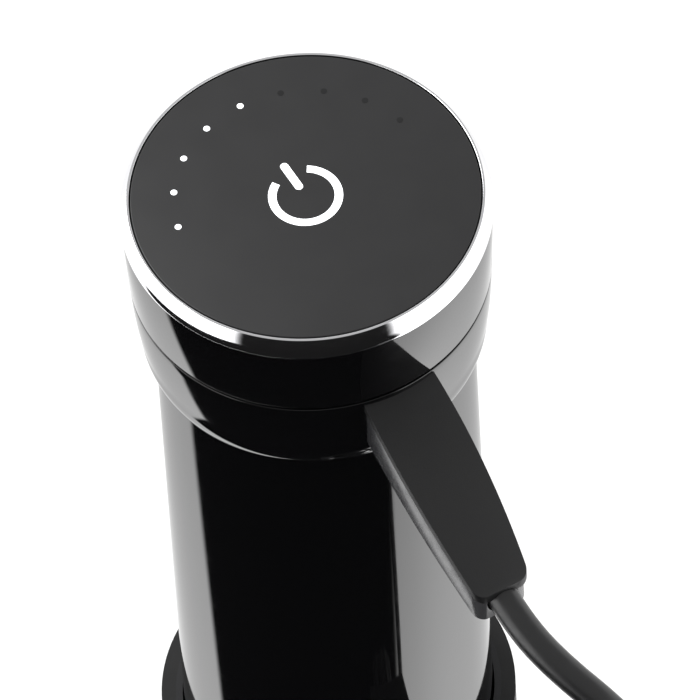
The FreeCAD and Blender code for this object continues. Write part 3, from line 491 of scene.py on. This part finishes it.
def studio_world(stage):
    """A white room, plain for the floor and for soft light. Reflections alone see a second one:
    brighter walls and a fixed dark screen on the stage's side of the object, which is wide and
    turned to the left below the horizon, and narrow and straight ahead at the horizon."""
    world = bpy.data.worlds.new("studio")
    bpy.context.scene.world = world
    world.use_nodes = True
    tree = world.node_tree
    tree.nodes.clear()
    way = add(tree, "ShaderNodeTexCoord").outputs["Generated"]
    parts = add(tree, "ShaderNodeSeparateXYZ", None, {0: way}).outputs
    flat = add(tree, "ShaderNodeCombineXYZ", None, {0: parts[0], 1: parts[1]}).outputs[0]
    flat = add(tree, "ShaderNodeVectorMath", {"operation": "NORMALIZE"}, {0: flat}).outputs[0]
    past = []
    for turn, half in (SCREEN_LOW, SCREEN_LEVEL):
        toward = add(tree, "ShaderNodeVectorMath", {"operation": "DOT_PRODUCT"},
                     {0: flat, 1: way_to(stage.azimuth + turn)}).outputs["Value"]
        past.append(add(tree, "ShaderNodeMath", {"operation": "SUBTRACT"},
                        {0: toward, 1: math.cos(math.radians(half))}).outputs[0])
    inside = blend(tree, ramp(tree, parts[2], -0.5, -0.22, 0, 1), past[0], past[1])
    white = ramp(tree, toward, -1.0, 0.4, WALL_BACK, WALL_SIDE)
    wall = blend(tree, ramp(tree, inside, -0.05, 0.05, 0, 1), white, SCREEN_GREY)
    light = blend(tree, ramp(tree, parts[2], 0.3, 0.6, 0, 1), wall, TOP_WHITE)
    glossy = add(tree, "ShaderNodeLightPath").outputs["Is Glossy Ray"]
    back = add(tree, "ShaderNodeBackground", None,
               {"Color": (1, 1, 1, 1), "Strength": blend(tree, glossy, 1.0, light)})
    out = add(tree, "ShaderNodeOutputWorld")
    tree.links.new(back.outputs[0], out.inputs[0])


class CIRCULATOR_OT_stage(bpy.types.Operator):
    """Set up the floor, the studio light and the camera"""

    bl_idname = "circulator.stage"
    bl_label = "Stage"

    def execute(self, context):
        stage = context.scene.circulator_stage
        right, up, forward = camera_axes(stage)
        glass = Vector((0, 0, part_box("touch_glass")[1][2]))
        aim = glass + right * AIM_RIGHT * MM + up * AIM_UP * MM
        lens = bpy.data.cameras.new("camera")
        lens.lens, lens.sensor_width = stage.lens, 36
        lens.clip_end = 100
        camera = bpy.data.objects.new("camera", lens)
        camera.matrix_world = Matrix.Translation(aim - forward * stage.distance) @ Matrix(
            (right, up, -forward)).transposed().to_4x4()
        context.scene.collection.objects.link(camera)
        context.scene.camera = camera
        studio_world(stage)
        context.scene.view_settings.view_transform = "Standard"
        paper = bpy.data.meshes.new("floor")
        reach = 30.0
        corners = [(-reach, -reach, 0), (reach, -reach, 0), (reach, reach, 0), (-reach, reach, 0)]
        paper.from_pydata(corners, [], [(0, 1, 2, 3)])
        paper.materials.append(finish_of(studio_paper))
        floor = bpy.data.objects.new("floor", paper)
        floor.visible_glossy = False
        context.scene.collection.objects.link(floor)
        area_light("key_light", (-0.5, 0.9, 1.6), (0, 0, 0.3), (0.9, 0.9), 14)
        return {"FINISHED"}


# ------------------------------------------------------------------ the head

class CIRCULATOR_OT_head(bpy.types.Operator):
    """Turn the glass, trim ring, dial band, bowl and barrel"""

    bl_idname = "circulator.head"
    bl_label = "Head and barrel"

    def execute(self, context):
        edge = context.scene.circulator_finish.edge_radius
        gap = context.scene.circulator_finish.panel_gap
        glass_r, glass_low, top = node_span("touch_glass")
        face = top - PRINT_RISE
        glass = lathe("touch_glass_face", [(0, glass_low), (glass_r, glass_low), (glass_r, face), (0, face)],
                      radius=edge)
        keep("touch_glass_face", glass, printed_glass, ROOT, ["touch_glass"])
        ring_r, ring_low, _ = node_span("chrome_trim_ring")
        bore = glass_r + 0.3
        slope = arc((ring_r, ring_low + 0.5), (bore + 0.55, top), 0.2)
        ring = lathe("trim_ring_chrome", [(bore, ring_low), (ring_r, ring_low), *slope, (bore, top)],
                     radius=0.18)
        keep("trim_ring_chrome", ring, polished_chrome, "dial", ["chrome_trim_ring"], 60)
        band_r, band_low, band_top = node_span("dial_ring")
        inner = band_r - 2.4
        foot_r = band_r - 0.7
        band = lathe("dial_band", [
            (inner, band_low), (foot_r, band_low), (band_r, band_top - gap), (band_r - 0.35, band_top - gap),
            (band_r - 0.35, band_top), (inner, band_top)], radius=edge)
        keep("dial_band", band, gloss_black_abs, "dial", ["dial_ring"])
        self.bowl(edge)
        return {"FINISHED"}

    def bowl(self, edge):
        """The bowl and the barrel below it, which meet at a screwed flange."""
        bowl_r, _, bowl_top = node_span("head_bowl")
        barrel_r, barrel_low, barrel_top = node_span("barrel_shell")
        shoulder = (bowl_r - 1.3, barrel_top + 8)
        bore, lip_bore, flange, barrel_wall = 22, 30, 2.5, 2
        flank = arc((barrel_r + 0.4, barrel_top), shoulder, 0.72, 10)
        flank += arc(shoulder, (bowl_r, bowl_top), 0.26, 8)[1:]
        wall = 2.2
        bowl = lathe("bowl_shell", [
            (bore, barrel_top), *flank, (lip_bore, bowl_top), (lip_bore, bowl_top - flange),
            (bowl_r - wall - 0.3, bowl_top - flange), (shoulder[0] - wall, shoulder[1]),
            (barrel_r - 1, barrel_top + flange), (bore, barrel_top + flange)], radius=edge)
        keep("bowl_shell", bowl, gloss_black_abs, ROOT, ["head_bowl"])
        barrel = lathe("barrel_tube", [
            (bore, barrel_top), (bore, barrel_top - flange), (barrel_r - barrel_wall, barrel_top - flange),
            (barrel_r - barrel_wall, barrel_low), (barrel_r, barrel_low), (barrel_r, barrel_top)],
            radius=edge)
        keep("barrel_tube", barrel, gloss_black_abs, ROOT, ["barrel_shell"])


DOTS, LIT, DOT_STEP, DOT_CIRCLE, DOT_RADIUS = 9, 5, 18.9, 28.1, 0.72
PRINT_RISE = 0.03  # the lights' faces stand this far over the glass, in mm


def flat_shape(name, outlines, low, high):
    """Low prisms over closed outlines, all in millimetres."""
    mesh = bpy.data.meshes.new(name)
    built = bmesh.new()
    for outline in outlines:
        face = built.faces.new([built.verts.new((x * MM, y * MM, low * MM)) for x, y in outline])
        pushed = bmesh.ops.extrude_face_region(built, geom=[face])
        moved = [v for v in pushed["geom"] if isinstance(v, bmesh.types.BMVert)]
        bmesh.ops.translate(built, verts=moved, vec=(0, 0, (high - low) * MM))
    bmesh.ops.recalc_face_normals(built, faces=built.faces)
    built.to_mesh(mesh)
    built.free()
    return mesh


def circle(x, y, radius, count=40):
    """Points round a circle."""
    return [(x + radius * math.cos(2 * math.pi * k / count),
             y + radius * math.sin(2 * math.pi * k / count)) for k in range(count)]


class CIRCULATOR_OT_lights(bpy.types.Operator):
    """Set the indicator dots and the power symbol into the glass"""

    bl_idname = "circulator.lights"
    bl_label = "Indicator lights"

    def execute(self, context):
        top = node_span("touch_glass")[2]
        low, high = top - 0.5, top
        angles = [math.radians(90 + (LIT - 1 - k) * DOT_STEP) for k in range(DOTS)]
        dots = [circle(DOT_CIRCLE * math.cos(a), DOT_CIRCLE * math.sin(a), DOT_RADIUS) for a in angles]
        lit = flat_shape("lit_dots", dots[:LIT], low, high)
        keep("lit_dots", lit, lit_guide, ROOT, ["lit_indicator_dots"])
        unlit = flat_shape("unlit_dots", dots[LIT:], low, high)
        keep("unlit_dots", unlit, unlit_guide, ROOT, ["unlit_indicator_dots"])
        outer, inner, gap = 8.0, 6.2, math.radians(32)
        sweep = [math.pi / 2 + gap + (2 * math.pi - 2 * gap) * k / 60 for k in range(61)]
        loop = [(outer * math.cos(a), outer * math.sin(a)) for a in sweep]
        back = [(inner * math.cos(a), inner * math.sin(a)) for a in reversed(sweep)]
        half, bar_foot, bar_top = (outer - inner) / 2, 2.9, 9.1
        bar = [(half * math.cos(math.pi * k / 12), centre + half * math.sin(math.pi * k / 12))
               for centre, steps in ((bar_top, range(13)), (bar_foot, range(12, 25))) for k in steps]
        mark = flat_shape("power_mark", [loop + back, bar], low, high)
        keep("power_mark", mark, lit_guide, ROOT, ["power_symbol"])
        return {"FINISHED"}


# ------------------------------------------------------------------ the cord arm

ARM = {"root": 37.4, "end": 81.0, "root_half": 8.45, "end_half": 6.3, "bow": 1.2, "corner": 2.3,
       "root_top": 375.5, "end_top": 353.0, "crown": 1.45, "root_thick": 14.5, "end_thick": 10}
ARM_DATUM = 36  # the widths and heights at the root are taken this far from the axis


def arm_share(reach):
    """How far along the arm a distance from the axis is, from 0 to 1."""
    return (reach - ARM_DATUM) / (ARM["end"] - ARM_DATUM)


def arm_half_width(reach, inset):
    """Half the arm's width at a distance from the axis."""
    share = arm_share(reach)
    width = ARM["root_half"] + (ARM["end_half"] - ARM["root_half"]) * share
    return width + ARM["bow"] * 4 * share * (1 - share) - inset


def arm_top(reach):
    """The height of the arm's crowned top at a distance from the axis."""
    share = arm_share(reach)
    slope = ARM["root_top"] + (ARM["end_top"] - ARM["root_top"]) * share
    return slope + ARM["crown"] * 4 * share * (1 - share)


def arm_foot(reach):
    """The height of the arm's underside at a distance from the axis."""
    thick = ARM["root_thick"] + (ARM["end_thick"] - ARM["root_thick"]) * arm_share(reach)
    return arm_top(reach) - thick


def arm_shell(name, inset, end, upper, lower):
    """A tapered slab between two surfaces that depend on the distance from the axis only."""
    corner = ARM["corner"]
    stations = [ARM["root"] + (end - corner - ARM["root"]) * k / 26 for k in range(27)]
    stations += [end - corner + corner * math.sin(math.pi / 2 * k / 8) for k in range(1, 9)]
    mesh = bpy.data.meshes.new(name)
    built = bmesh.new()
    rows = []
    for reach in stations:
        half = arm_half_width(reach, inset)
        over = max(0.0, reach - (end - corner))
        half -= corner - math.sqrt(max(0.0, corner**2 - over**2))
        low, high = lower(reach), upper(reach)
        rows.append([built.verts.new((x * MM, -reach * MM, z * MM))
                     for x, z in ((-half, high), (half, high), (half, low), (-half, low))])
    for near, far in zip(rows, rows[1:]):
        for k in range(4):
            built.faces.new([near[k], near[(k + 1) % 4], far[(k + 1) % 4], far[k]])
    built.faces.new(rows[0])
    built.faces.new(rows[-1])
    bmesh.ops.recalc_face_normals(built, faces=built.faces)
    built.to_mesh(mesh)
    built.free()
    return mesh


def baked(piece, *modifiers):
    """Apply modifiers, given as (kind, settings), to a piece's mesh."""
    for kind, settings in modifiers:
        made = piece.modifiers.new(kind.lower(), kind)
        for name, value in settings.items():
            setattr(made, name, value)
    bpy.context.view_layer.update()
    graph = bpy.context.evaluated_depsgraph_get()
    mesh = bpy.data.meshes.new_from_object(piece.evaluated_get(graph))
    piece.modifiers.clear()
    piece.data = mesh


def rod(name, radius, start, stop, count=48):
    """A plain round cutter between two places in millimetres."""
    mesh = bpy.data.meshes.new(name)
    built = bmesh.new()
    bmesh.ops.create_cone(built, cap_ends=True, segments=count, radius1=radius * MM, radius2=radius * MM,
                          depth=(Vector(stop) - Vector(start)).length * MM)
    turn = (Vector(stop) - Vector(start)).to_track_quat("Z", "Y").to_matrix().to_4x4()
    middle = (Vector(start) + Vector(stop)) / 2 * MM
    bmesh.ops.transform(built, matrix=Matrix.Translation(middle) @ turn, verts=built.verts)
    built.to_mesh(mesh)
    built.free()
    thing = bpy.data.objects.new(name, mesh)
    bpy.context.scene.collection.objects.link(thing)
    return thing


class CIRCULATOR_OT_arm(bpy.types.Operator):
    """Shape the cord arm's cover and base"""

    bl_idname = "circulator.arm"
    bl_label = "Cord arm"

    def execute(self, context):
        thick, parting = 2.2, 0.12
        cover = arm_shell("arm_cover", 0, ARM["end"], arm_top, lambda r: arm_top(r) - thick)
        base = arm_shell("arm_base", 0.45, ARM["end"] - 1, lambda r: arm_top(r) - thick - parting,
                         arm_foot)
        cover = keep("arm_cover", cover, spark_eroded_abs, ROOT, ["cord_arm_cover"], 30)
        base = keep("arm_base", base, painted_sheen_abs, ROOT, ["cord_arm_base"], 30)
        bore = rod("cord_bore", 3.75, CORD_ROUTE[0], (0, -92, 344.1))
        for piece in (cover, base):
            baked(piece, ("BOOLEAN", {"operation": "DIFFERENCE", "object": bore, "solver": "EXACT"}),
                  ("BEVEL", {"width": 0.35 * MM, "segments": 3, "limit_method": "ANGLE",
                             "angle_limit": math.radians(35), "harden_normals": False}))
            piece.data.set_sharp_from_angle(angle=math.radians(30))
        bpy.data.objects.remove(bore)
        return {"FINISHED"}


# ------------------------------------------------------------------ the cord, its coil and its plug

# The CAD cord's points in millimetres, from inside the arm down to the coil and from the coil
# to the plug, without the two where it meets the coil, which the first and last turns give.
CORD_ROUTE = [
    (0, -74, 350.8), (0, -84, 347.1), (2.6, -95.8, 342.3), (10.8, -112, 334), (20.2, -128, 313),
    (26.6, -137, 275), (31.5, -139, 211), (35.5, -138.5, 146), (37.4, -137, 86),
    (37.8, -132, 46), (37.8, -119, 23),
]
TAIL_ROUTE = [(44.8, -81, 5), (47.5, -65, 10), (51, -50, 16), (52.5, -37, 18.2)]
COIL_MIDDLE = (0, -97)
COIL_TURNS = 4
TURN_POINTS = 16
# Radius and height of each turn of the coil, from the top one to the one that leaves it.
COIL_LAYERS = [(37.4, 12.4), (44.6, 12.0), (37.6, 4.9), (44.7, 4.5)]


def coil_points():
    """The coil's turns, which pass from one radius and height to the next along the way."""
    points = []
    for turn in range(COIL_TURNS):
        here = COIL_LAYERS[turn]
        after = COIL_LAYERS[min(turn + 1, COIL_TURNS - 1)]
        for k in range(TURN_POINTS):
            share = k / TURN_POINTS
            ease = max(0.0, (share - 0.55) / 0.45)
            ease = ease * ease * (3 - 2 * ease)
            radius = here[0] + (after[0] - here[0]) * ease
            height = here[1] + (after[1] - here[1]) * ease
            angle = 2 * math.pi * share
            swell = 1 / math.cos(math.pi / TURN_POINTS) ** 0.5
            points.append((COIL_MIDDLE[0] + radius * swell * math.cos(angle),
                           COIL_MIDDLE[1] + radius * swell * math.sin(angle), height))
    radius, height = COIL_LAYERS[-1]
    points.append((COIL_MIDDLE[0] + radius, COIL_MIDDLE[1], height))
    return points


class CIRCULATOR_OT_cord(bpy.types.Operator):
    """Lay the mains cord from the arm to its coil and plug"""

    bl_idname = "circulator.cord"
    bl_label = "Mains cord"

    def execute(self, context):
        cord = context.scene.circulator_cord
        curve = bpy.data.curves.new("mains_cord", "CURVE")
        curve.dimensions = "3D"
        curve.bevel_depth = cord.diameter / 2
        curve.bevel_resolution = 6
        curve.resolution_u = 12
        curve.use_fill_caps = True
        points = [*CORD_ROUTE, *coil_points(), *TAIL_ROUTE]
        spline = curve.splines.new("NURBS")
        spline.points.add(len(points) - 1)
        for point, spot in zip(spline.points, points):
            point.co = (*(c * MM for c in spot), 1)
        spline.order_u = 3
        spline.use_endpoint_u = True
        curve.materials.append(finish_of(cord_pvc))
        piece = bpy.data.objects.new("mains_cord", curve)
        context.scene.collection.objects.link(piece)
        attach(piece, ROOT)
        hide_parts("power_cord", "power_cord_tail", "cord_coil")
        return {"FINISHED"}


class CIRCULATOR_OT_materials(bpy.types.Operator):
    """Give every carried-over CAD node its material"""

    bl_idname = "circulator.materials"
    bl_label = "Node materials"

    def execute(self, context):
        for maker, names in NODE_MATERIALS.items():
            for name in names:
                slots = bpy.data.objects[name].material_slots
                for slot in slots:
                    slot.material = finish_of(maker)
        return {"FINISHED"}


class CIRCULATOR_PT_panel(bpy.types.Panel):
    """Lists the settings and the steps"""

    bl_idname = "CIRCULATOR_PT_panel"
    bl_label = "Sous vide circulator"
    bl_space_type = "VIEW_3D"
    bl_region_type = "UI"
    bl_category = "Circulator"

    def draw(self, context):
        for group in (context.scene.circulator_finish, context.scene.circulator_cord,
                      context.scene.circulator_stage):
            for name in group.__annotations__:
                self.layout.prop(group, name)
        for step in STEPS:
            self.layout.operator(step.bl_idname)


STEPS = (CIRCULATOR_OT_stage, CIRCULATOR_OT_cord, CIRCULATOR_OT_materials, CIRCULATOR_OT_head,
         CIRCULATOR_OT_lights, CIRCULATOR_OT_arm)
GROUPS = {"circulator_finish": CirculatorFinish, "circulator_cord": CirculatorCord,
          "circulator_stage": CirculatorStage}


def register():
    for kind in (*GROUPS.values(), *STEPS, CIRCULATOR_PT_panel):
        bpy.utils.register_class(kind)
    for name, kind in GROUPS.items():
        setattr(bpy.types.Scene, name, bpy.props.PointerProperty(type=kind))


def unregister():
    for name in GROUPS:
        delattr(bpy.types.Scene, name)
    for kind in (CIRCULATOR_PT_panel, *reversed(STEPS), *GROUPS.values()):
        bpy.utils.unregister_class(kind)


def main():
    register()
    for step in STEPS:
        family, name = step.bl_idname.split(".")
        getattr(getattr(bpy.ops, family), name)()


if __name__ == "__main__":
    main()
